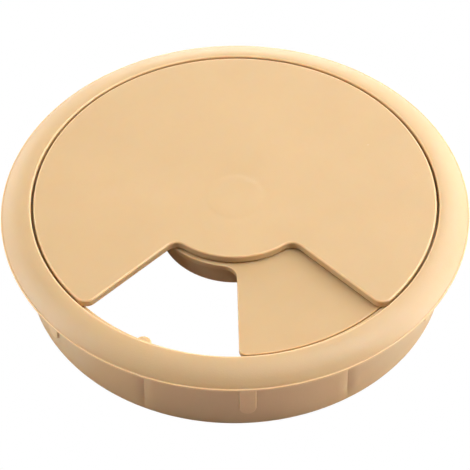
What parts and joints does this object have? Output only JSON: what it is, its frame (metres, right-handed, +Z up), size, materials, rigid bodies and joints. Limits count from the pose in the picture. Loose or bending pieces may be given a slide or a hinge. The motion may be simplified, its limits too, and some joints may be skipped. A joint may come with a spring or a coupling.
{
  "type": "desk grommet",
  "caption": "Round plastic desk grommet: a flanged sleeve for a cable hole, a turning cover disc with a sector cable outlet, and a rotating shutter under it.",
  "frame": {"origin": "on the grommet's axis, in the plane of the sleeve's bottom edge", "axes": "+Z up along the axis, from the sleeve to the cover; the cable outlet in the cover opens towards -Y at rest"},
  "size_m": [0.088, 0.088, 0.0175],
  "materials": {
    "body_plastic": "fine satin moulded plastic, warm beige",
    "cap_plastic": "fine satin moulded plastic, warm beige",
    "shutter_plastic": "fine satin moulded plastic, warm beige"
  },
  "bodies": {
    "body": {"flanged_body": "body_plastic"},
    "cap": {"cover_cap": "cap_plastic"},
    "shutter": {"shutter": "shutter_plastic"}
  },
  "joints": [
    {"name": "cap_turn", "type": "hinge", "parent": "body", "child": "cap", "pos_m": [0, 0, 0.016], "axis": [0, 0, 1], "continuous": true},
    {"name": "shutter_turn", "type": "hinge", "parent": "cap", "child": "shutter", "pos_m": [0, 0, 0.015], "axis": [0, 0, 1], "range_deg": [-50, 46]}
  ]
}
